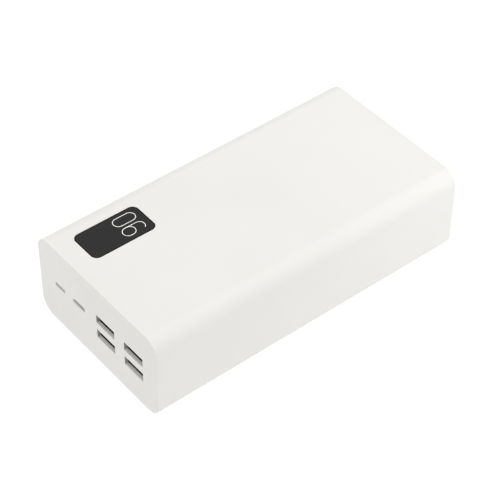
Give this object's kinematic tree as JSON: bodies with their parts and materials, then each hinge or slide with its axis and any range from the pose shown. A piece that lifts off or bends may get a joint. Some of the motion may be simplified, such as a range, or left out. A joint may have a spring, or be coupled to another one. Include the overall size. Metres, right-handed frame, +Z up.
{
  "type": "power bank",
  "caption": "Thick white portable power bank: rounded-rectangle sleeve, flush dark display window on top, USB output and input ports in one end face, side power button.",
  "frame": {"origin": "centre of the bottom of the bounding box, on the flat underside", "axes": "+Z up through the thickness, Y along the length with the port end at -Y, X across the width; seen from the port end, -X is on the left"},
  "size_m": [0.082, 0.16, 0.043],
  "materials": {
    "white_shell": "satin moulded, warm white",
    "smoked_lens": "polished smoked lens",
    "nickel_shell": "nickel-plated stamped sheet",
    "black_plastic": "matte moulded",
    "circuit_board": "solder-mask coated laminate",
    "cell_pouch": "satin laminated foil",
    "foam": "matte closed-cell foam",
    "ferrite": "matte",
    "capacitor_can": "bright sleeve",
    "nickel_strip": "rolled strip",
    "red_lead": "satin silicone insulation",
    "black_lead": "satin silicone insulation",
    "flex_ribbon": "polyimide film",
    "display_block": "white diffusing plastic",
    "screw_steel": "zinc plated"
  },
  "bodies": {
    "housing": {"housing_sleeve": "white_shell", "port_end_cap": "white_shell", "rear_end_cap": "white_shell", "display_window": "smoked_lens", "display_light_block": "display_block", "display_board": "circuit_board", "main_board": "circuit_board", "cell_protection_board": "circuit_board", "display_ribbon": "flex_ribbon", "usb_a_shell_upper_left": "nickel_shell", "usb_a_shell_upper_right": "nickel_shell", "usb_a_shell_lower_left": "nickel_shell", "usb_a_shell_lower_right": "nickel_shell", "usb_a_tongue_upper_left": "black_plastic", "usb_a_tongue_upper_right": "black_plastic", "usb_a_tongue_lower_left": "black_plastic", "usb_a_tongue_lower_right": "black_plastic", "usb_c_shell": "nickel_shell", "micro_usb_shell": "nickel_shell", "usb_c_tongue": "black_plastic", "micro_usb_tongue": "black_plastic", "power_inductor_left": "ferrite", "board_screw_left": "screw_steel", "power_inductor_right": "ferrite", "board_screw_right": "screw_steel", "boost_controller_chip": "black_plastic", "charge_controller_chip": "black_plastic", "output_capacitor_front": "capacitor_can", "output_capacitor_rear": "capacitor_can", "switch_body": "black_plastic", "battery_cell_1": "cell_pouch", "battery_cell_2": "cell_pouch", "battery_cell_3": "cell_pouch", "battery_cell_4": "cell_pouch", "foam_pad_top": "foam", "foam_pad_bottom": "foam", "cell_strip_positive": "nickel_strip", "cell_strip_negative": "nickel_strip", "battery_lead_positive": "red_lead", "battery_lead_negative": "black_lead"},
    "power_button": {"power_button": "white_shell"},
    "switch_plunger": {"switch_plunger": "black_plastic"}
  },
  "joints": [
    {"name": "power_button_press", "type": "slide", "parent": "housing", "child": "power_button", "axis": [1, 0, 0], "range_m": [0, 0.0005], "stiffness_N_per_m": 1500},
    {"name": "switch_plunger_press", "type": "slide", "parent": "housing", "child": "switch_plunger", "axis": [1, 0, 0], "range_m": [0, 0.0005]}
  ],
  "couplings": [
    {"joint": "switch_plunger_press", "follows": "power_button_press", "ratio": 1}
  ]
}
